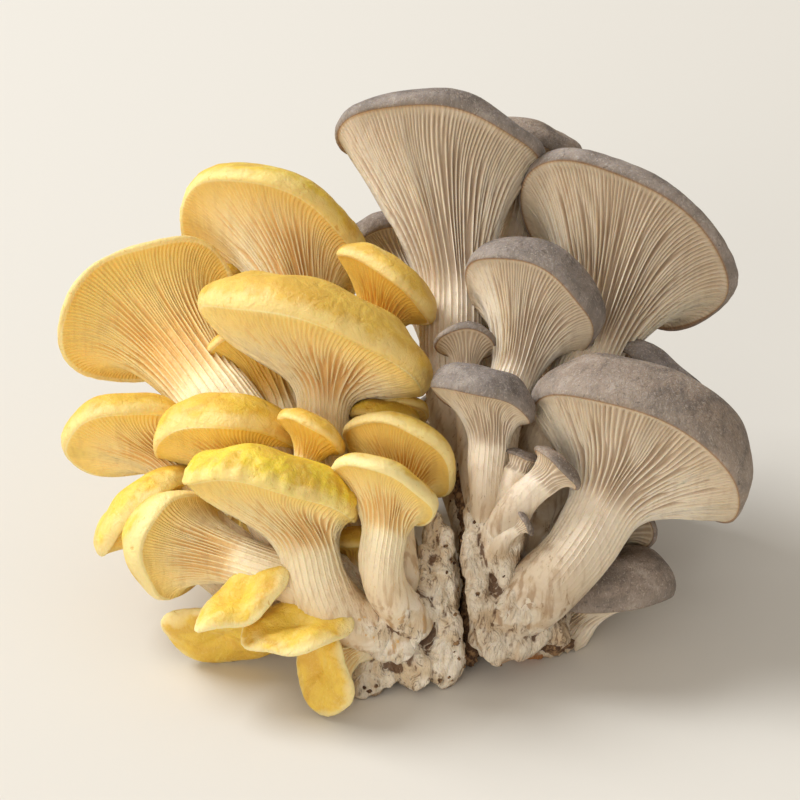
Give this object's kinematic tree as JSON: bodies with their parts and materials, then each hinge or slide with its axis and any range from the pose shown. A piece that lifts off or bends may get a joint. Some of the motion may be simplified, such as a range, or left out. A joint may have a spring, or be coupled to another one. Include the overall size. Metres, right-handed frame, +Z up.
{
  "type": "oyster mushroom cluster",
  "caption": "Cut cluster of golden and grey oyster mushrooms: gilled trumpet-shaped caps fan out from a shared rough butt.",
  "frame": {"origin": "middle of the flat cut spot under the golden butt, on the surface the cluster stands on", "axes": "+Z up, +X to the right of the viewer who faces the gills, +Y away from that viewer"},
  "size_m": [0.1973, 0.1603, 0.136],
  "materials": {
    "golden_flesh": "soft satin flesh, lemon to ochre caps over cream gills",
    "grey_flesh": "matte felted grey-brown caps over cream gills"
  },
  "bodies": {
    "root": {"golden_bunch": "golden_flesh", "grey_bunch": "grey_flesh"}
  },
  "joints": []
}
